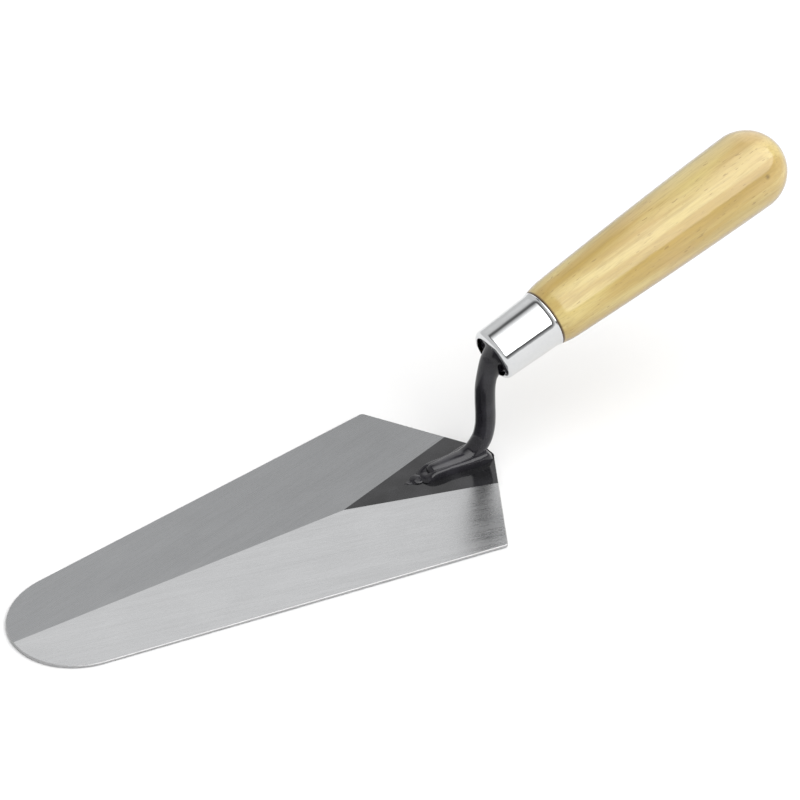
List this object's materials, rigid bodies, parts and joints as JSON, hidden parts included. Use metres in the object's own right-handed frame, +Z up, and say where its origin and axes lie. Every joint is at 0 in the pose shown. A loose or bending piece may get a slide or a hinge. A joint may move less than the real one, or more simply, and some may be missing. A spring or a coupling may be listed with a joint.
{
  "type": "brick trowel",
  "caption": "Round-nosed masonry trowel: a tapered steel blade with a low spine, a welded goose-neck shank, a chromed ferrule and a tapered wooden handle with a round butt.",
  "frame": {"origin": "on the blade's flat underside, on the centre line, half way along the blade", "axes": "+X from the nose towards the handle, +Z up from the flat underside, Y across the blade"},
  "size_m": [0.2986, 0.0886, 0.0932],
  "materials": {
    "ground_steel": "ground bright, fine scratches across the blade, thin clear oil film",
    "black_lacquer": "glossy black lacquer over forged steel",
    "chrome_plate": "bright chrome plate",
    "varnished_wood": "pale close-grained hardwood under clear varnish"
  },
  "bodies": {
    "root": {"blade": "ground_steel", "shank": "black_lacquer", "weld_fillet": "black_lacquer", "toe_weld": "black_lacquer", "ferrule": "chrome_plate", "handle": "varnished_wood"}
  },
  "joints": []
}
